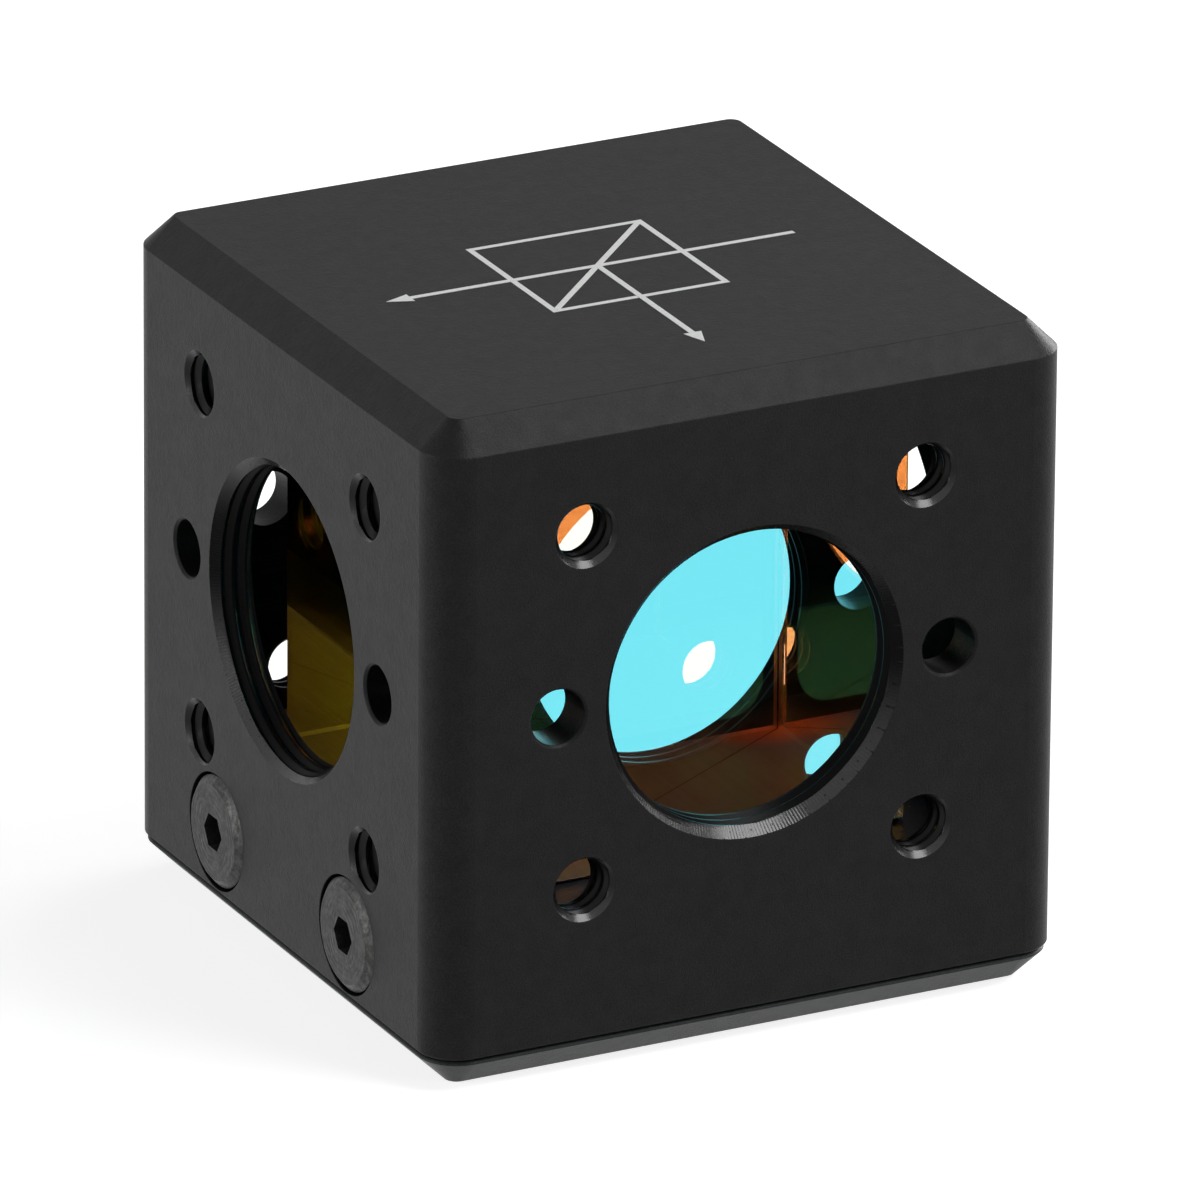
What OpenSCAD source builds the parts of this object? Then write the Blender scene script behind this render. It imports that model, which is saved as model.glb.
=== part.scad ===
/* [Optics] */
// Side of the cemented glass cube
glass_w = 19.8; // [18:0.1:21]
// Bevel on the outer edges of the glass
glass_bevel = 0.15; // [0.1:0.05:0.5]
// Cement film between the two prisms
cement_t = 0.02; // [0.01:0.01:0.05]
// Adhesive film under the glass
bond_t = 0.05; // [0.02:0.01:0.1]

/* [Housing] */
// Width and depth over the flat side faces
body_w = 29.85; // [28:0.05:36]
// Thickness of the side walls
wall_t = 1.9; // [1.6:0.05:2.3]
// Thickness of the top
top_t = 2.2; // [1.5:0.1:4]
// Free height between the glass and the inside of the top
headroom = 1.55; // [0.5:0.05:4]
// Radius of the four upright edges
edge_r = 1.8; // [1.5:0.1:3]
// Chamfer round the top face
top_chamfer = 1.3; // [0.5:0.1:1.4]
// Chamfer round the lower edge of the housing
foot_chamfer = 0.1; // [0.1:0.05:0.4]
// Radius in the upright corners of the pocket
pocket_r = 2.5; // [1.5:0.1:3]

/* [Ports] */
// Nominal diameter of the thread in the four ports
port_d = 13.59; // [12:0.01:14]
// Chamfer at the mouth of each port
port_chamfer = 0.25; // [0.1:0.05:0.4]

/* [Side holes] */
// Side of the square of tapped holes round each port
cage_pitch = 16; // [15:0.1:17]
// Nominal diameter of the tapped holes
cage_d = 2.84; // [2.5:0.01:3]
// Distance between the two plain holes level with the axis
plain_pitch = 18.5; // [18:0.1:19]
// Diameter of the plain holes
plain_d = 2.5; // [2:0.1:2.6]
// Chamfer at the mouth of each tapped hole
cage_chamfer = 0.05; // [0.02:0.01:0.1]
// Chamfer at the mouth of each plain hole
plain_chamfer = 0.11; // [0.02:0.01:0.15]

/* [Base plate] */
// Thickness of the flange
flange_t = 1.4; // [1.35:0.05:2]
// Distance the flange stands in from the side faces
flange_inset = 0.1; // [0:0.05:0.3]
// Chamfer round the underside of the flange
flange_chamfer = 1.25; // [0.5:0.05:1.25]
// Chamfer round the upper edge of the flange
flange_break = 0.08; // [0.02:0.02:0.08]
// Radius of the flange's corners
flange_r = 1.8; // [1.5:0.1:3]
// Height of the shadow gap between the flange and the housing
reveal_h = 0.1; // [0.1:0.05:0.3]
// Depth of the shadow gap, measured in from the side faces
reveal_depth = 1; // [0.5:0.1:1.5]
// Height of the block that carries the glass, above the shadow gap
platform_h = 4.9; // [4.8:0.1:6]
// Play of the block in the pocket on the sides without screws
platform_play = 0.05; // [0.02:0.01:0.1]
// Nominal diameter of the thread for a post
post_d = 4.17; // [4:0.01:4.5]
// Depth of the full thread for a post
post_depth = 4.6; // [3:0.1:4.8]
// Chamfer at the mouth of the thread for a post
post_chamfer = 0.2; // [0.1:0.05:0.4]

/* [Cover screws] */
// Distance between the two screws on one side
screw_pitch = 12.7; // [12:0.1:12.9]
// Height of the screws above the underside of the base plate
screw_z = 4.3; // [4.25:0.05:4.4]
// Nominal diameter of the screw thread
screw_d = 2.84; // [2.5:0.01:2.9]
// Diameter of the screw head
head_d = 5; // [4.6:0.05:5.1]
// Height of the screw head
head_h = 1.45; // [1.2:0.05:1.6]
// Distance the screw head stands proud of the side face
head_proud = 0.18; // [0:0.02:0.3]
// Diameter of the flat top of the screw head
head_flat_d = 4.3; // [3.8:0.05:4.5]
// Height of the bevel round the screw head
head_bevel_h = 0.28; // [0.1:0.02:0.4]
// Diameter of the counterbore for the screw head
counterbore_d = 5.28; // [5.2:0.02:5.4]
// Diameter of the clearance hole under the head
clearance_d = 3.1; // [2.95:0.05:3.3]
// Length of the screw under its head
screw_l = 4.8; // [3:0.1:6]
// Width across the flats of the hex socket
hex_af = 1.5; // [1.3:0.05:2]
// Depth of the hex socket
hex_depth = 0.8; // [0.5:0.05:1]

/* [Hidden] */
$fn = 96;
eps = 0.02;

half_w = body_w / 2;
pocket_half = half_w - wall_t;
land_z = flange_t + reveal_h;
platform_z = land_z + platform_h;
glass_z = platform_z + bond_t;
axis_z = glass_z + glass_w / 2;
ceiling_z = glass_z + glass_w + headroom;
top_z = ceiling_z + top_t;
seat_x = half_w + head_proud - head_h;
flange_w = body_w - 2 * flange_inset;
land_w = body_w - 2 * reveal_depth;
bore_spare = 0.5;
drill_tip = 0.3;
tip_chamfer = 0.35;
SIDES = [-1, 1];
FACES = [0, 90, 180, 270];

// Ring that turns a square corner into a round one, with the corner's centre at the origin.
module corner_cut(r, h) {
    difference() {
        translate([0, 0, -eps]) cube([r + eps, r + eps, h + 2 * eps]);
        translate([0, 0, -2 * eps]) cylinder(r = r, h = h + 4 * eps);
    }
}

// Upright block with round corners, standing on z = 0.
module round_block(wx, wy, h, r) {
    difference() {
        translate([-wx / 2, -wy / 2, 0]) cube([wx, wy, h]);
        for (sx = SIDES, sy = SIDES) {
            translate([sx * (wx / 2 - r), sy * (wy / 2 - r), 0])
                rotate(corner_turn(sx, sy)) corner_cut(r, h);
        }
    }
}

function corner_turn(sx, sy) = sx > 0 ? (sy > 0 ? 0 : -90) : (sy > 0 ? 90 : 180);

// Section removed by a 45 degree chamfer c from an edge r out from the axis, at the top z = 0.
module chamfer_section(r, c) {
    polygon([[r - c - eps, eps], [r + eps, eps], [r + eps, -c - eps]]);
}

// Cutter for a chamfer round the top edge, z = 0, of a square block with round corners.
module chamfer_cut(w, r, c) {
    run = w - 2 * r;
    for (turn = FACES) rotate(turn) {
        translate([w / 2 - r, run / 2, 0]) rotate([90, 0, 0])
            linear_extrude(run) chamfer_section(r, c);
        translate([w / 2 - r, w / 2 - r, 0])
            rotate_extrude(angle = 90) chamfer_section(r, c);
    }
}

// Hole along -Y through a side wall whose outer face is at y = -half_w, chamfered at the mouth.
module wall_hole(x, z, d, c) {
    translate([x, -half_w, z]) rotate([-90, 0, 0]) {
        translate([0, 0, -eps]) cylinder(d = d, h = wall_t + 2 * eps);
        translate([0, 0, -eps]) cylinder(d1 = d + 2 * c + 2 * eps, d2 = d, h = c + eps);
    }
}

// Openings of one side face: port, square of tapped holes and two plain holes.
module face_openings() {
    wall_hole(0, axis_z, port_d, port_chamfer);
    for (sx = SIDES) {
        wall_hole(sx * plain_pitch / 2, axis_z, plain_d, plain_chamfer);
        for (sz = SIDES)
            wall_hole(sx * cage_pitch / 2, axis_z + sz * cage_pitch / 2, cage_d, cage_chamfer);
    }
}

// Places a screw or its holes: axis along the bore, z = 0 at the head's seat, head outwards.
module at_screw(sx, sy) {
    translate([sx * seat_x, sy * screw_pitch / 2, screw_z]) rotate([0, sx * 90, 0]) children();
}

module housing() {
    color([0.16, 0.16, 0.17])
    difference() {
        translate([0, 0, land_z]) round_block(body_w, body_w, top_z - land_z, edge_r);
        translate([0, 0, top_z]) chamfer_cut(body_w, edge_r, top_chamfer);
        translate([0, 0, land_z]) mirror([0, 0, 1]) chamfer_cut(body_w, edge_r, foot_chamfer);
        translate([0, 0, land_z - eps])
            round_block(2 * pocket_half, 2 * pocket_half, ceiling_z - land_z + eps, pocket_r);
        for (turn = FACES) rotate(turn) face_openings();
        for (sx = SIDES, sy = SIDES) at_screw(sx, sy) {
            cylinder(d = counterbore_d, h = head_h - head_proud + eps);
            translate([0, 0, -wall_t]) cylinder(d = clearance_d, h = wall_t + eps);
        }
    }
}

module base_plate() {
    color([0.18, 0.18, 0.19])
    difference() {
        union() {
            difference() {
                round_block(flange_w, flange_w, flange_t, flange_r);
                mirror([0, 0, 1]) chamfer_cut(flange_w, flange_r, flange_chamfer);
                translate([0, 0, flange_t]) chamfer_cut(flange_w, flange_r, flange_break);
            }
            translate([0, 0, flange_t - eps])
                round_block(land_w, land_w, reveal_h + eps, flange_r);
            round_block(2 * pocket_half, 2 * (pocket_half - platform_play), platform_z,
                pocket_r + platform_play);
        }
        translate([0, 0, -eps]) cylinder(d = post_d, h = post_depth + eps);
        translate([0, 0, post_depth]) cylinder(d1 = post_d, d2 = 0, h = post_d * drill_tip);
        translate([0, 0, -eps])
            cylinder(d1 = post_d + 2 * (post_chamfer + eps), d2 = post_d, h = post_chamfer + eps);
        for (sx = SIDES, sy = SIDES) at_screw(sx, sy) mirror([0, 0, 1]) {
            cylinder(d = screw_d, h = screw_l + bore_spare);
            translate([0, 0, screw_l + bore_spare])
                cylinder(d1 = screw_d, d2 = 0, h = screw_d * drill_tip);
        }
    }
}

// Right-angle prism with its square corner towards +X and -Y, centred on the optical axis.
// Its coated long face lies on the plane X = Y, half the cement film short of it.
module prism() {
    h = glass_w / 2;
    b = glass_bevel;
    g = cement_t / sqrt(2);
    translate([0, 0, axis_z])
    difference() {
        translate([0, 0, -h]) linear_extrude(glass_w)
            polygon([[-h + g + 2 * b, -h], [h - b, -h], [h, -h + b], [h, h - g - 2 * b],
                [h - b, h - g - b], [-h + g + b, -h + b]]);
        for (sz = SIDES) {
            translate([0, -h, sz * h]) rotate([45, 0, 0])
                cube([3 * h, b * sqrt(2), b * sqrt(2)], center = true);
            translate([h, 0, sz * h]) rotate([0, 45, 0])
                cube([b * sqrt(2), 3 * h, b * sqrt(2)], center = true);
        }
    }
}

module front_prism() {
    color([0.75, 0.9, 0.92, 0.5]) prism();
}

module rear_prism() {
    color([0.75, 0.9, 0.92, 0.5]) rotate(180) prism();
}

// Low head cap screw, z = 0 under the head, shank downwards.
module cap_screw() {
    color([0.3, 0.31, 0.3])
    difference() {
        rotate_extrude() polygon([
            [0, head_h], [head_flat_d / 2, head_h], [head_d / 2, head_h - head_bevel_h],
            [head_d / 2, 0], [screw_d / 2, 0], [screw_d / 2, tip_chamfer - screw_l],
            [screw_d / 2 - tip_chamfer, -screw_l], [0, -screw_l]]);
        translate([0, 0, head_h - hex_depth]) rotate(30)
            cylinder(d = hex_af / cos(30), h = hex_depth + eps, $fn = 6);
    }
}

module left_screw_front() {
    at_screw(-1, -1) cap_screw();
}

module left_screw_rear() {
    at_screw(-1, 1) cap_screw();
}

module right_screw_front() {
    at_screw(1, -1) cap_screw();
}

module right_screw_rear() {
    at_screw(1, 1) cap_screw();
}

housing();
base_plate();
front_prism();
rear_prism();
left_screw_front();
left_screw_rear();
right_screw_front();
right_screw_rear();
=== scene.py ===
import bmesh, bpy, math
from mathutils import Matrix, Vector


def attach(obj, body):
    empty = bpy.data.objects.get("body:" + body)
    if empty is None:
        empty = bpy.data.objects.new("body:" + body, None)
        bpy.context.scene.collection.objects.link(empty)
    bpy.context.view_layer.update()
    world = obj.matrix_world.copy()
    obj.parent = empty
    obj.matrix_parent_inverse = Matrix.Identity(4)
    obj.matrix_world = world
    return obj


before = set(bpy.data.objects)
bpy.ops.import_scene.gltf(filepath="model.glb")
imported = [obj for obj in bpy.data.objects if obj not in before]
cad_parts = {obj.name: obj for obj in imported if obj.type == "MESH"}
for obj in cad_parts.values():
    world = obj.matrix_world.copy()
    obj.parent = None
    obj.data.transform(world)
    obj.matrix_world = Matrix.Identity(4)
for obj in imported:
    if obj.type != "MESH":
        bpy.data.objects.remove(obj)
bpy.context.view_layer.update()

# sizes of the part in millimetres
MM = 0.001
AXIS_Z = 16.35  # height of the optical axis
HALF = 14.925  # half the width of the housing
WALL = 1.9
TOP = 30.0
GLASS = 9.9  # half the width of the glass
BEVEL = 0.15
SCREW_Y, SCREW_Z = 6.35, 4.3
CAGE = 8  # half the side of the square of tapped holes
scene = bpy.context.scene


# ---------------------------------------------------------------- node helpers
NOISE_LOW, NOISE_HIGH = 0.3, 0.7  # most values of a noise texture lie between these


class Nodes:
    """Short names for building the nodes of one material or of the world. Coordinates are millimetres."""

    def __init__(self, name, world=None):
        if world is None:
            self.mat = bpy.data.materials.new(name)
            self.mat.use_nodes = True
            self.t = self.mat.node_tree
        else:
            self.t = world.node_tree
        self.t.nodes.clear()

    def add(self, kind, **props):
        n = self.t.nodes.new(kind)
        for k, v in props.items():
            setattr(n, k, v)
        return n

    def link(self, a, b):
        self.t.links.new(a, b)

    def put(self, socket, value):
        if isinstance(value, bpy.types.NodeSocket):
            self.link(value, socket)
        else:
            socket.default_value = value

    def math(self, op, *values):
        n = self.add("ShaderNodeMath", operation=op)
        for socket, value in zip(n.inputs, values):
            self.put(socket, value)
        return n.outputs[0]

    def product(self, first, *others):
        for value in others:
            first = self.math("MULTIPLY", first, value)
        return first

    def distance(self, a, b):
        return self.math("SQRT", self.math("ADD", self.product(a, a), self.product(b, b)))

    def ramp(self, value, lo, hi, out_lo=0.0, out_hi=1.0, smooth=True):
        n = self.add("ShaderNodeMapRange", interpolation_type="SMOOTHSTEP" if smooth else "LINEAR")
        names = ("Value", "From Min", "From Max", "To Min", "To Max")
        for key, v in zip(names, (value, lo, hi, out_lo, out_hi)):
            self.put(n.inputs[key], v)
        return n.outputs["Result"]

    def spread(self, noise, out_lo, out_hi, smooth=True):
        return self.ramp(noise, NOISE_LOW, NOISE_HIGH, out_lo, out_hi, smooth)

    def mix_rgb(self, fac, a, b):
        n = self.add("ShaderNodeMix", data_type="RGBA")
        self.put(n.inputs["Factor"], fac)
        self.put(n.inputs[6], a)
        self.put(n.inputs[7], b)
        return n.outputs[2]

    def scaled(self, vector, factor):
        n = self.add("ShaderNodeVectorMath", operation="SCALE")
        self.put(n.inputs[0], vector)
        self.put(n.inputs["Scale"], factor)
        return n.outputs[0]

    def stretched(self, vector, factors):
        n = self.add("ShaderNodeVectorMath", operation="MULTIPLY")
        self.put(n.inputs[0], vector)
        self.put(n.inputs[1], factors)
        return n.outputs[0]

    def coords_mm(self):
        v = self.scaled(self.add("ShaderNodeTexCoord").outputs["Object"], 1 / MM)
        s = self.add("ShaderNodeSeparateXYZ")
        self.link(v, s.inputs[0])
        return v, s.outputs[0], s.outputs[1], s.outputs[2]

    def noise(self, vec, scale, detail=2.0, rough=0.5):
        n = self.add("ShaderNodeTexNoise")
        self.link(vec, n.inputs["Vector"])
        n.inputs["Scale"].default_value = scale
        n.inputs["Detail"].default_value = detail
        n.inputs["Roughness"].default_value = rough
        return n.outputs[0]

    def bump(self, height, distance, strength, normal=None):
        n = self.add("ShaderNodeBump")
        n.inputs["Distance"].default_value = distance
        n.inputs["Strength"].default_value = strength
        self.link(height, n.inputs["Height"])
        if normal is not None:
            self.link(normal, n.inputs["Normal"])
        return n.outputs[0]

    def shader(self, kind, **values):
        """A shader node, its sockets set by name with _ for a space."""
        n = self.add(kind)
        for k, v in values.items():
            self.put(n.inputs[k.replace("_", " ")], v)
        return n.outputs[0]

    def principled(self, **values):
        return self.shader("ShaderNodeBsdfPrincipled", **values)

    def glossy(self, rough, colour):
        n = self.add("ShaderNodeBsdfAnisotropic", distribution="GGX")
        self.put(n.inputs["Roughness"], rough)
        self.put(n.inputs["Color"], colour)
        return n.outputs[0]

    def both(self, a, b):
        n = self.add("ShaderNodeAddShader")
        self.link(a, n.inputs[0])
        self.link(b, n.inputs[1])
        return n.outputs[0]

    def choose(self, fac, a, b):
        n = self.add("ShaderNodeMixShader")
        self.link(fac, n.inputs[0])
        self.link(a, n.inputs[1])
        self.link(b, n.inputs[2])
        return n.outputs[0]

    def out(self, shader):
        o = self.add("ShaderNodeOutputMaterial")
        self.link(shader, o.inputs["Surface"])
        return self.mat


# ---------------------------------------------------------------- materials
WORN_EDGE = 0.00008  # metres, how far the edges look rounded
GRAIN = 0.00003  # metres, height of the bead blasted grain
HOLE_REACH = 11.0  # no hole of a side face reaches farther from the middle of that face
CHAMFER_FOOT = TOP - 1.4  # just under the chamfers of the top
POCKET_TOP = TOP - 2.1  # just over the ceiling of the pocket
# painted shade: the pocket's walls are painted far darker than the housing's anodising
POCKET_SHADE_BLACK = (0.003, 0.003, 0.003)
POCKET_ROUGH = 0.45
# painted shade: hole walls are this much darker and less glossy
HOLE_SHADE = 0.4
TOP_ROUGHER = 0.16


def anodised(name, base, housing):
    """Bead blasted black anodised aluminium. The housing also has painted shade on its hole walls
    and in its pocket, which has milling streaks, with less gloss in both, and a rougher top."""
    m = Nodes(name)
    vec, x, y, z = m.coords_mm()
    fine = m.noise(vec, 13.0, 2.0, 0.7)
    broad = m.noise(vec, 0.35, 3.0, 0.6)
    pits = m.noise(vec, 4.0, 1.0, 0.5)
    cloud = m.noise(vec, 1.3, 3.0, 0.6)
    gloss = m.product(m.spread(cloud, 0.092, 0.112), m.spread(fine, 0.8, 1.2, smooth=False))
    shade = m.product(m.spread(fine, 0.78, 1.22, smooth=False), m.spread(broad, 0.94, 1.06))
    colour = m.scaled(base, shade)
    rough = m.spread(fine, 0.3, 0.42, smooth=False)
    worn = m.add("ShaderNodeBevel", samples=6)
    worn.inputs["Radius"].default_value = WORN_EDGE
    normal = m.bump(fine, GRAIN, 0.55, worn.outputs[0])
    normal = m.bump(pits, GRAIN, 0.25, normal)
    if housing:
        ax, ay = m.math("ABSOLUTE", x), m.math("ABSOLUTE", y)
        side = m.math("MAXIMUM", ax, ay)
        by_hole = m.math("LESS_THAN", m.math("MINIMUM", ax, ay), HOLE_REACH)
        below = m.math("LESS_THAN", z, CHAMFER_FOOT)
        hole = m.product(by_hole, below, m.math("LESS_THAN", side, HALF - 0.12))
        between_walls = m.math("LESS_THAN", side, HALF - WALL + 0.03)
        pocket = m.product(between_walls, m.math("LESS_THAN", z, POCKET_TOP))
        streaks = m.noise(m.stretched(vec, (0.12, 0.12, 5.0)), 1.6, 3.0, 0.65)
        # milling streaks on a colour painted dark as shade in the pocket
        milled_and_shaded = m.scaled(POCKET_SHADE_BLACK, m.spread(streaks, 0.7, 1.5))
        # painted shade on the walls of the holes in the side faces
        shaded_hole_walls = m.scaled(colour, m.math("MULTIPLY_ADD", hole, -HOLE_SHADE, 1.0))
        colour = m.mix_rgb(pocket, shaded_hole_walls, milled_and_shaded)
        rough = m.math("MULTIPLY_ADD", pocket, m.math("SUBTRACT", POCKET_ROUGH, rough), rough)
        rough = m.math("MULTIPLY_ADD", m.math("GREATER_THAN", z, TOP - 0.01), TOP_ROUGHER, rough)
        # the painted shade also takes gloss off the pocket and the hole walls
        dull = m.math("MAXIMUM", pocket, m.product(hole, HOLE_SHADE))
        gloss = m.product(gloss, m.math("SUBTRACT", 1.0, dull))
    return m.out(m.principled(Base_Color=colour, Roughness=rough, Normal=normal, Specular_IOR_Level=gloss))


# painted shade: bore walls are painted darker than the housing's anodising, as shade inside the bores
BORE_SHADE_BLACK = (0.004, 0.004, 0.0042)


def machined(name, mouth, lead, ticks, gloss):
    """Anodised wall of a bore in the bore's own frame, Z into the wall and Y up: a thread painted dark as
    shade in the bore, and a 45 degree lead-in with a painted highlight low down and half as much at the
    top."""
    m = Nodes(name)
    vec, x, y, z = m.coords_mm()
    grain = m.noise(vec, 5.0, 2.0, 0.6)
    normal = m.bump(grain, 0.00002, 0.3)
    shade = m.spread(grain, 0.8, 1.25)
    off_cone = m.math("ABSOLUTE", m.math("SUBTRACT", m.math("ADD", m.distance(x, y), z), mouth))
    cone = m.product(m.ramp(off_cone, 0.008, 0.03, 1.0, 0.0), m.ramp(z, lead, lead + 0.03, 1.0, 0.0))
    # painted highlight on the lead-in: strongest low down, half as strong at the top
    high = m.product(m.ramp(y, 0.3 * mouth, 0.9 * mouth), 0.5)
    painted_highlight = m.product(cone, m.math("MAXIMUM", m.ramp(y, 0.0, -0.7 * mouth), high))
    if ticks:
        wave = m.math("SINE", m.product(m.math("ARCTAN2", y, x), ticks))
        wave = m.product(wave, m.ramp(m.noise(vec, 0.5, 1.0), 0.4, 0.6), cone)
        normal = m.bump(wave, 0.00001, 0.3, normal)
        shade = m.product(shade, m.ramp(wave, -1.0, 1.0, 0.6, 1.4, smooth=False))
    colour = m.scaled(BORE_SHADE_BLACK, m.product(shade, m.math("MULTIPLY_ADD", painted_highlight, 2.5, 1.0)))
    rough = m.math("MULTIPLY_ADD", cone, -0.06, 0.3)
    # the painted highlight also gets more specular level
    level = m.math("MULTIPLY_ADD", painted_highlight, 0.5 - gloss, gloss)
    return m.out(m.principled(Base_Color=colour, Normal=normal, Roughness=rough, Specular_IOR_Level=level))


STEEL = (0.026, 0.0268, 0.0255)
HEAD_RIM_HIGHLIGHT = (2.08, 2.2)  # radii between which a painted highlight lightens a screw head's rim


def turned_steel(name):
    """Dark oxide screw: faint turning rings on the head, mottling, scratches and a painted highlight on
    the rim.
    """
    m = Nodes(name)
    vec, _, y, z = m.coords_mm()
    dy = m.math("SUBTRACT", m.math("ABSOLUTE", y), SCREW_Y)
    dz = m.math("SUBTRACT", z, SCREW_Z)
    r = m.distance(dy, dz)
    wobble = m.noise(vec, 1.1, 3.0, 0.6)
    rings = m.math("SINE", m.math("MULTIPLY_ADD", r, 24.0, m.product(wobble, 16.0)))
    rings = m.product(rings, m.ramp(m.noise(vec, 0.8, 2.0), 0.35, 0.65, 0.15, 1.0))
    grain = m.noise(vec, 8.0, 2.0, 0.7)
    mottle = m.noise(vec, 2.6, 4.0, 0.7)
    marks = m.ramp(m.noise(m.stretched(vec, (1.0, 6.0, 0.5)), 1.3, 3.0, 0.6), 0.6, 0.72)
    # painted highlight round the rim of the head
    rim = m.ramp(r, *HEAD_RIM_HIGHLIGHT)
    normal = m.bump(rings, 0.000012, 0.4)
    normal = m.bump(grain, 0.00003, 0.3, normal)
    normal = m.bump(mottle, 0.00004, 0.3, normal)
    shade = m.product(m.ramp(rings, -1.0, 1.0, 0.88, 1.12), m.spread(grain, 0.8, 1.2),
                      m.spread(mottle, 0.6, 1.4), m.math("MULTIPLY_ADD", marks, 0.8, 1.0),
                      m.math("MULTIPLY_ADD", rim, 0.9, 1.0))
    return m.out(m.principled(Base_Color=m.scaled(STEEL, shade), Roughness=m.spread(mottle, 0.5, 0.4),
                              Normal=normal, Metallic=0.5, Specular_IOR_Level=0.3))


# tints of the coated glass: REFLECT of what a face mirrors, PASS of what it lets through
REFLECT = (0.185, 0.80, 0.91, 1.0)
REFLECT_SIDE = (0.1, 0.2, 0.5, 1.0)  # at a slant
REFLECT_BACK = (0.16, 0.95, 1.0, 1.0)  # from inside the glass
REFLECT_WEAK = (0.003, 0.01, 0.006, 1.0)  # from inside, at a slant or on the front face
REFLECT_ALL = (1.0, 1.0, 1.0, 1.0)
BARE = (0.045, 0.045, 0.045, 1.0)  # outside the film
BORDER = (0.97, 0.74, 0.48, 1.0)  # let through outside the film
PASS = (0.93, 0.52, 0.25, 1.0)
PASS_SIDE = (0.95, 0.7, 0.06, 1.0)
TOTAL = 0.2507  # 1 - cos of the angle past which glass reflects everything
IOR = 1.51
FILM_INSET, FILM_CORNER, FILM_SOFT = 0.85, 1.6, 0.06
FILM_SHIFT = 0.7  # how much farther out the film reaches on the left and front faces
FRONT = GLASS * -0.999  # just inside the left and front faces
GROUND_TINTS = (0.15, 0.15, 0.52, 1), (0.185, 0.185, 0.62, 1)
# painted light: colour and reach of a pool of warm light painted on the ground faces near the rear right
# corner
PAINTED_GLOW_TINT = (0.97, 0.28, 0.2, 1)
PAINTED_GLOW_REACH = 4.0
GROUND_SHEEN = (0.08, 0.13, 0.15, 1)
BEVEL_TINT = (0.97, 0.55, 0.25, 1)
CEMENT_HALF = 0.06


def coated_glass(name):
    """Polished glass. A film inside a rounded border reflects cyan and lets orange through; top and
    bottom are ground, with a painted pool of warm light towards the corner at the rear right; bevels
    are rough glass; the cemented diagonal doesn't bend light."""
    m = Nodes(name)
    vec, x, y, z = m.coords_mm()
    ax, ay = m.math("ABSOLUTE", x), m.math("ABSOLUTE", y)
    av = m.math("ABSOLUTE", m.math("SUBTRACT", z, AXIS_Z))
    on_x = m.math("GREATER_THAN", ax, GLASS - 0.004)
    on_y = m.math("GREATER_THAN", ay, GLASS - 0.004)
    side = m.math("MAXIMUM", on_x, on_y)
    polished = m.product(side, m.math("LESS_THAN", av, GLASS - BEVEL + 0.01))
    shift = m.product(m.math("LESS_THAN", m.math("MINIMUM", x, y), FRONT), FILM_SHIFT)
    inner_edge = m.math("ADD", shift, GLASS - FILM_INSET - FILM_CORNER)
    du = m.math("MAXIMUM", m.math("SUBTRACT", m.math("MINIMUM", ax, ay), inner_edge), 0.0)
    dv = m.math("MAXIMUM", m.math("SUBTRACT", av, inner_edge), 0.0)
    film = m.ramp(m.distance(du, dv), FILM_CORNER - FILM_SOFT, FILM_CORNER + FILM_SOFT, 1.0, 0.0)
    diagonal = m.math("LESS_THAN", m.math("ABSOLUTE", m.math("SUBTRACT", x, y)), CEMENT_HALF)

    lw = m.add("ShaderNodeLayerWeight")
    lw.inputs["Blend"].default_value = 0.5
    facing = lw.outputs["Facing"]
    inside = m.add("ShaderNodeNewGeometry").outputs["Backfacing"]
    # a slant starts and ends earlier inside the glass, where rays are bent towards the normal
    starts = m.math("MULTIPLY_ADD", inside, 0.10 - 0.28, 0.28)
    ends = m.math("MULTIPLY_ADD", inside, 0.18 - 0.5, 0.5)
    slant = m.ramp(facing, starts, ends)
    total = m.product(inside, m.math("GREATER_THAN", facing, TOTAL))
    weak = m.product(inside, m.math("MAXIMUM", slant, m.math("LESS_THAN", y, FRONT)))
    straight = m.mix_rgb(inside, REFLECT, REFLECT_BACK)
    mirror_tint = m.mix_rgb(weak, m.mix_rgb(slant, straight, REFLECT_SIDE), REFLECT_WEAK)
    mirror_tint = m.mix_rgb(film, BARE, mirror_tint)
    mirror_tint = m.mix_rgb(total, mirror_tint, REFLECT_ALL)
    pass_tint = m.mix_rgb(film, BORDER, m.mix_rgb(slant, PASS, PASS_SIDE))
    clear = m.shader("ShaderNodeBsdfRefraction", Roughness=0.0, IOR=IOR, Color=pass_tint)
    mirror = m.glossy(0.0, mirror_tint)

    scratch = m.ramp(m.noise(m.stretched(vec, (2.2, 0.07, 1.0)), 1.2, 3.0, 0.6), 0.32, 0.68)
    # painted light: the ground faces turn warmer and lighter near the rear right corner, a painted pool of
    # light
    away = m.distance(m.math("SUBTRACT", GLASS, x), m.math("SUBTRACT", GLASS, y))
    painted_glow = m.ramp(away, 0.0, PAINTED_GLOW_REACH, 1.0, 0.0)
    matt_tint = m.mix_rgb(painted_glow, m.mix_rgb(scratch, *GROUND_TINTS), PAINTED_GLOW_TINT)
    ground = m.both(m.shader("ShaderNodeBsdfDiffuse", Color=matt_tint), m.glossy(0.38, GROUND_SHEEN))
    bevel = m.shader("ShaderNodeBsdfGlass", Roughness=0.5, IOR=IOR, Color=BEVEL_TINT)
    upright = m.math("LESS_THAN", av, GLASS - BEVEL - 0.01)

    solid = m.choose(polished, m.choose(upright, ground, bevel), m.both(clear, mirror))
    return m.out(m.choose(diagonal, solid, m.shader("ShaderNodeBsdfTransparent")))


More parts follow.
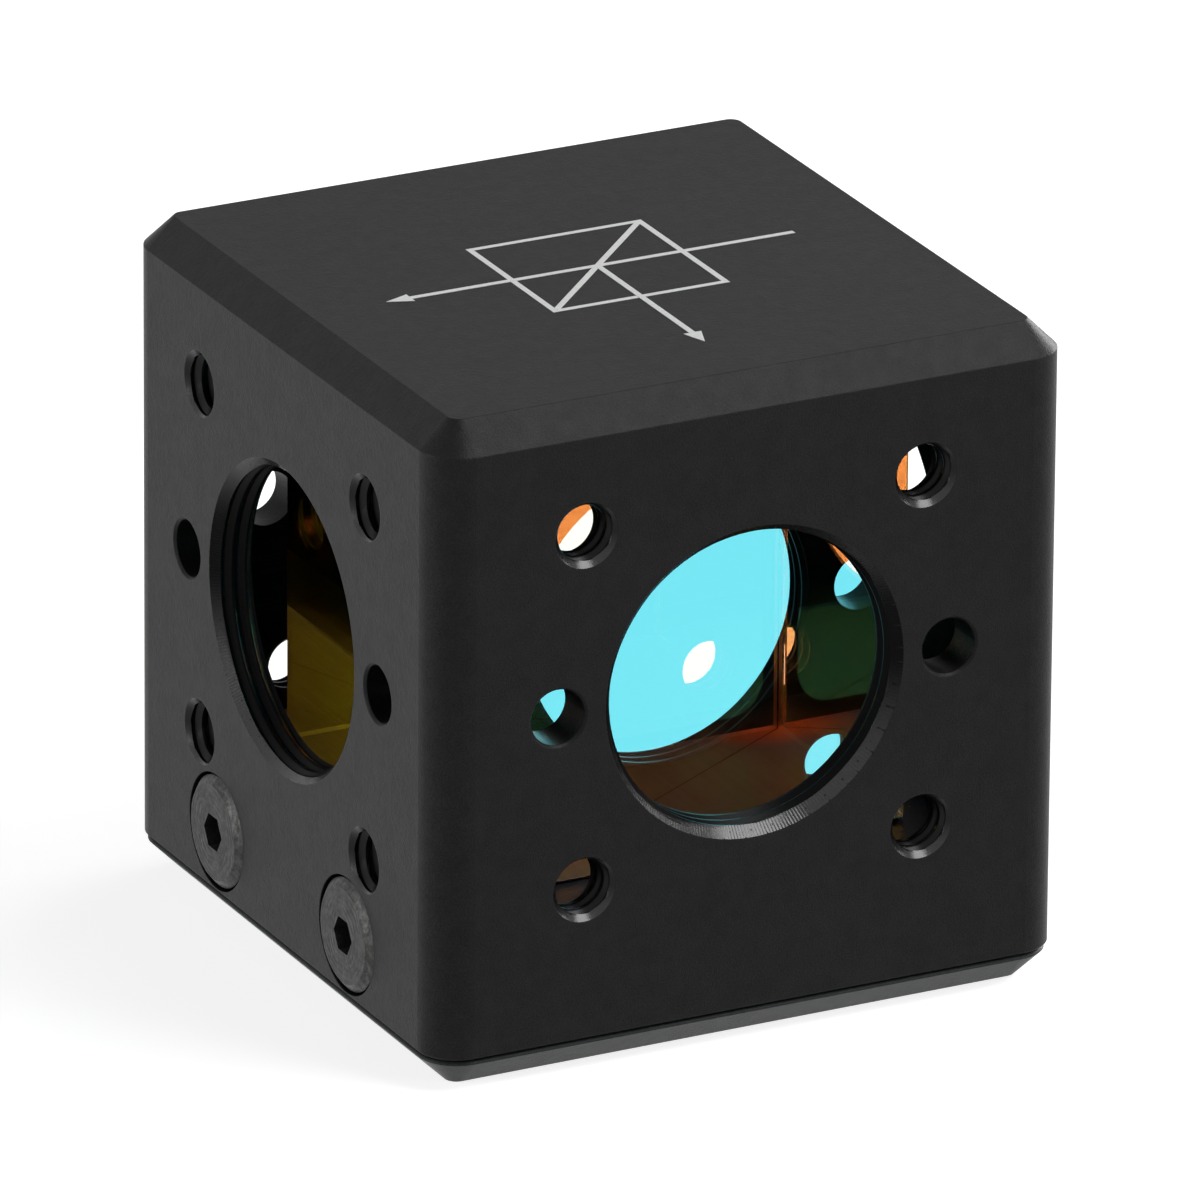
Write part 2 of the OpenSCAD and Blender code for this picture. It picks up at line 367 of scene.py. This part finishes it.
def printed(name, colour, rough):
    m = Nodes(name)
    patchy = m.ramp(m.noise(m.coords_mm()[0], 6.0, 2.0), NOISE_LOW, NOISE_HIGH)
    faded = tuple(c * 0.9 for c in colour[:3]) + (1,)
    return m.out(m.principled(Base_Color=m.mix_rgb(patchy, faded, colour), Roughness=rough,
                              Specular_IOR_Level=0.5))


# ---------------------------------------------------------------- thread sizes and the materials
SKIN = 0.004  # how far a lead-in stands in from its bore's mouth
PITCH = 0.635  # 40 turns to the inch
THREAD_DEPTH = WALL - 0.02
# radius of the mouth, of the thread's root and crest, pitch, depth, end of the lead-in, steps round
PORT = dict(r_mouth=7.045, r_major=6.795, r_minor=6.6, pitch=PITCH, depth=THREAD_DEPTH, cone_end=0.445,
            steps=128)
TAPPED = dict(r_mouth=1.47, r_major=1.42, r_minor=1.2, pitch=PITCH, depth=THREAD_DEPTH, cone_end=0.27,
              steps=40)
POST = dict(r_mouth=2.285, r_major=2.085, r_minor=1.73, pitch=0.794, depth=4.4, cone_end=0.555, steps=48)
PORT_TICKS = 300  # tool marks round the lead-in of a port

black = anodised("housing_anodised", (0.012, 0.012, 0.0122), True)
# painted light: the base plate's anodising is painted lighter than the housing's, as light from the floor
# below
plate = anodised("plate_anodised", (0.024, 0.0265, 0.0275), False)
TAPPED["mat"] = machined("cage_bore", TAPPED["r_mouth"] - SKIN, 0.27, 0, 0.2)
POST["mat"] = machined("post_bore", POST["r_mouth"] - SKIN, 0.55, 0, 0.1)
PORT["mat"] = machined("port_bore", PORT["r_mouth"] - SKIN, 0.44, PORT_TICKS, 0.05)
steel = turned_steel("screw_steel")
glass = coated_glass("coated_glass")
ink = printed("print_white", (0.68, 0.69, 0.68, 1.0), 0.6)

MATERIALS = {"housing": black, "base_plate": plate, "front_prism": glass, "rear_prism": glass}
for name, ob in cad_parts.items():
    for s in ob.material_slots:
        s.material = MATERIALS.get(name, steel)


# ---------------------------------------------------------------- threads
PER_TURN = 14  # rows of vertices in one pitch
CREST, FLANK = 0.14, 0.36  # shares of a pitch
CLEAR = 0.003  # a thread's root stands in from the bore's wall by this
SUNK = 0.002  # the hidden back of a ring is in the housing by this


def ridge(q):
    """Share of the ridge's height at phase q of a turn: flat crest, straight flanks, narrow root."""
    q = q % 1.0
    d = min(q, 1.0 - q)
    if d < CREST / 2:
        return 1.0
    return max(0.0, 1.0 - (d - CREST / 2) / FLANK)


def on_housing(name, me, mat, place=Matrix.Identity(4)):
    """Make an object of the mesh, carried by the part, with the given material."""
    ob = bpy.data.objects.new(name, me)
    scene.collection.objects.link(ob)
    ob.matrix_world = place
    me.materials.append(mat)
    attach(ob, "root")


def thread_ring(name, place, r_mouth, r_major, r_minor, pitch, depth, cone_end, steps, mat, offset=0.0):
    """Closed ring on the wall of a bore: lead-in cone, then a helical thread. Local Z runs into the
    bore."""
    n = steps + 1
    turns = [2 * math.pi * j / steps for j in range(n)]
    height = r_major - r_minor
    # a row starts one pitch before the mouth, so that its far end meets the row one turn further on
    sheet = []
    for k in range(-PER_TURN, int(math.ceil(depth / pitch)) * PER_TURN + 1):
        row = []
        for j, a in enumerate(turns):
            t = pitch * (k / PER_TURN + j / steps)
            tc = min(max(t, 0.0), depth)
            r = r_major - CLEAR - height * ridge(tc / pitch - j / steps + offset)
            cone = r_mouth - SKIN - tc * (r_mouth - r_minor) / cone_end
            r = max(r, cone) if tc < cone_end else r
            row.append((r * math.cos(a), r * math.sin(a), tc))
        sheet.append(row)
    verts = [v for row in sheet for v in row]
    faces = []
    for i in range(len(sheet) - 1):
        for j in range(steps):
            q = (i * n + j, i * n + j + 1, (i + 1) * n + j + 1, (i + 1) * n + j)
            zs = [verts[v][2] for v in q]
            if max(zs) - min(zs) < 1e-6 and (zs[0] <= 1e-6 or zs[0] >= depth - 1e-6):
                continue
            faces.append(q)
    # the outer wall and the two ends, hidden in the housing
    behind = r_major + SUNK
    back = [(r_mouth + SUNK, 0.0), (behind, max(0.05, r_mouth - r_major)), (behind, depth)]
    starts = []
    for r, t in back:
        starts.append(len(verts))
        verts += [(r * math.cos(a), r * math.sin(a), t) for a in turns]
    for low, high in zip(starts, starts[1:]):
        faces += [(low + j, high + j, high + j + 1, low + j + 1) for j in range(steps)]
    at_mouth = len(verts)
    verts += [(x, y, 0.0) for x, y, _ in sheet[0]]
    at_end = len(verts)
    verts += [(x, y, depth) for x, y, _ in sheet[-1]]
    for j in range(steps):
        for outer, inner in ((starts[0], at_mouth), (starts[2], at_end)):
            faces.append((outer + j, outer + j + 1, inner + j + 1, inner + j))
    me = bpy.data.meshes.new(name)
    me.from_pydata([Vector(v) * MM for v in verts], [], faces)
    bm = bmesh.new()
    bm.from_mesh(me)
    bmesh.ops.remove_doubles(bm, verts=bm.verts, dist=1e-7)
    bmesh.ops.recalc_face_normals(bm, faces=bm.faces)
    bm.to_mesh(me)
    bm.free()
    me.polygons.foreach_set("use_smooth", [True] * len(me.polygons))
    me.set_sharp_from_angle(angle=math.radians(25))
    on_housing(name, me, mat, place)


OUTWARD = {"front": (0, -1), "rear": (0, 1), "left": (-1, 0), "right": (1, 0)}


def bore_place(face, u, z):
    """Frame of a bore on a side face: local Z into the wall, local Y up, origin on the face."""
    out = OUTWARD[face]
    into = Vector((-out[0], -out[1], 0))
    up = Vector((0, 0, 1))
    across = up.cross(into)
    pos = Vector((out[0] * HALF, out[1] * HALF, 0)) + Vector((abs(out[1]) * u, abs(out[0]) * u, z))
    m = Matrix((across, up, into)).transposed().to_4x4()
    m.translation = pos * MM
    return m


for i, face in enumerate(OUTWARD):
    thread_ring("port_thread_" + face, bore_place(face, 0, AXIS_Z), offset=0.31 * i, **PORT)
    for cu, column in ((-CAGE, "a"), (CAGE, "b")):
        for cz, row in ((-CAGE, "low"), (CAGE, "top")):
            tag = "%s_%s%s" % (face, column, row)
            thread_ring("cage_thread_" + tag, bore_place(face, cu, AXIS_Z + cz), offset=0.23 * i + 0.4,
                        **TAPPED)
thread_ring("post_thread", Matrix.Identity(4), **POST)


# ---------------------------------------------------------------- print on the top
LINE = 0.27  # width of a line
SQUARE = 4.05  # half the side of the square
HALF_LINE = LINE / 2
TIP = 10.0  # where an arrow points to, from the middle
NECK = 9.2  # where its line ends
BEAM_START = 9.4
PRINT_LOW, PRINT_HIGH, PRINT_STEP = -0.002, 0.006, 0.002


def slab(name, outlines, layer):
    """Thin printed shapes on the top face, each a convex outline in millimetres and a little thicker
    than the last."""
    verts, faces = [], []
    for k, pts in enumerate(outlines):
        low, high = TOP + PRINT_LOW, TOP + PRINT_HIGH + PRINT_STEP * (k + layer)
        b = len(verts)
        n = len(pts)
        verts += [(px * MM, py * MM, low * MM) for px, py in pts]
        verts += [(px * MM, py * MM, high * MM) for px, py in pts]
        faces.append(tuple(b + n + i for i in range(n)))
        faces.append(tuple(b + i for i in reversed(range(n))))
        faces += [(b + i, b + (i + 1) % n, b + n + (i + 1) % n, b + n + i) for i in range(n)]
    me = bpy.data.meshes.new(name)
    me.from_pydata(verts, [], faces)
    on_housing(name, me, ink)


def stroke(ax, ay, bx, by):
    d = Vector((bx - ax, by - ay)).normalized()
    nx, ny = -d.y * LINE / 2, d.x * LINE / 2
    return [(ax - nx, ay - ny), (bx - nx, by - ny), (bx + nx, by + ny), (ax + nx, ay + ny)]


def head(tx, ty, dx, dy, length=1.15, half=0.42):
    bx, by = tx - dx * length, ty - dy * length
    return [(tx, ty), (bx - dy * half, by + dx * half), (bx + dy * half, by - dx * half)]


outer, inner = SQUARE + HALF_LINE, SQUARE - HALF_LINE
slab("diagram_square", [stroke(-outer, SQUARE, outer, SQUARE), stroke(-outer, -SQUARE, outer, -SQUARE),
                        stroke(-SQUARE, -inner, -SQUARE, inner), stroke(SQUARE, -inner, SQUARE, inner)], 0)
slab("diagram_diagonal", [stroke(-inner, -inner, inner, inner)], 4)
slab("diagram_beam", [stroke(-NECK, 0, BEAM_START, 0), head(-TIP, 0, -1, 0),
                      stroke(0, -NECK, 0, -0.1), head(0, -TIP, 0, -1)], 5)


# ---------------------------------------------------------------- floor, world, lamps
SOFT_WORLD = 0.12  # strength of the world as light; seen or mirrored it is 1, white
FLOOR_GREY = (0.45, 0.45, 0.45, 1)  # what the floor throws back on the object
FLOOR_SEEN = (0.5, 0.5, 0.5, 1)  # what of it takes the shadow in the picture
FLOOR_GLOW = 0.8
FLOOR_HALF, FLOOR_Z = 3.0, -0.00002


def background_rays(m):
    """1 for camera rays, and 1 for the glossy and transmission rays that see the white background."""
    lp = m.add("ShaderNodeLightPath")
    mirrored = m.math("MAXIMUM", lp.outputs["Is Glossy Ray"], lp.outputs["Is Transmission Ray"])
    return lp.outputs["Is Camera Ray"], mirrored


def floor_material():
    m = Nodes("floor_white")
    camera, mirrored = background_rays(m)
    pale = m.both(m.shader("ShaderNodeBsdfDiffuse", Color=FLOOR_SEEN),
                  m.shader("ShaderNodeEmission", Strength=FLOOR_GLOW))
    seen = m.choose(camera, m.shader("ShaderNodeBsdfDiffuse", Color=FLOOR_GREY), pale)
    return m.out(m.choose(mirrored, seen, m.shader("ShaderNodeEmission", Strength=1.0)))


me = bpy.data.meshes.new("floor")
corners = ((-1, -1), (1, -1), (1, 1), (-1, 1))
me.from_pydata([(x * FLOOR_HALF, y * FLOOR_HALF, FLOOR_Z) for x, y in corners], [], [(0, 1, 2, 3)])
floor = bpy.data.objects.new("floor", me)
scene.collection.objects.link(floor)
me.materials.append(floor_material())

world = bpy.data.worlds.new("studio")
scene.world = world
world.use_nodes = True
w = Nodes("", world)
camera_ray, mirrored_ray = background_rays(w)
sees_white = w.math("MAXIMUM", camera_ray, mirrored_ray)
strength = w.math("MULTIPLY_ADD", sees_white, 1.0 - SOFT_WORLD, SOFT_WORLD)
world_out = w.add("ShaderNodeOutputWorld")
w.link(w.shader("ShaderNodeBackground", Strength=strength), world_out.inputs["Surface"])

LAMPS = {  # place in metres, side of the square in metres, power in watts
    "key_left": ((-0.6, 0.1, 0.02), 0.45, 4.0),
    "top_soft": ((0.34, -0.30, 0.66), 0.4, 3.8),
    "front_fill": ((0.45, -0.5, 0.08), 0.35, 2.0),
    "rim_right": ((0.5, 0.15, 0.06), 0.4, 4.0),
}
AIM = Vector((0, 0, 0.015))
for name, (pos, size, power) in LAMPS.items():
    data = bpy.data.lights.new(name, "AREA")
    data.shape = "SQUARE"
    data.size = size
    data.energy = power
    ob = bpy.data.objects.new(name, data)
    scene.collection.objects.link(ob)
    ob.location = pos
    ob.rotation_mode = "QUATERNION"
    ob.rotation_quaternion = (AIM - Vector(pos)).to_track_quat("-Z", "Y")

# ---------------------------------------------------------------- camera
AZ, EL, ROLL = math.radians(-117.0), math.radians(21.77), math.radians(0.4408)
DIST, SHIFT_X, SHIFT_Y = 764.3, 0.2061, -1.526  # millimetres
SENSOR = 36.0
FOCAL_PX, IMAGE_PX = 17870, 1200  # focal length and image width in pixels

cam_data = bpy.data.cameras.new("camera")
cam = bpy.data.objects.new("camera", cam_data)
scene.collection.objects.link(cam)
back = Vector((math.cos(EL) * math.cos(AZ), math.cos(EL) * math.sin(AZ), math.sin(EL)))
level = (-back).cross(Vector((0, 0, 1))).normalized()
above = level.cross(-back)
right = level * math.cos(ROLL) + above * math.sin(ROLL)
up = above * math.cos(ROLL) - level * math.sin(ROLL)
where = back * DIST + right * SHIFT_X + up * SHIFT_Y + Vector((0, 0, AXIS_Z))
pose = Matrix((right, up, back)).transposed().to_4x4()
pose.translation = where * MM
cam.matrix_world = pose
cam_data.sensor_width = SENSOR
cam_data.lens = FOCAL_PX / IMAGE_PX * SENSOR
cam_data.clip_start = 0.01
cam_data.clip_end = 20.0
scene.camera = cam
scene.view_settings.view_transform = "Standard"

bpy.context.view_layer.update()
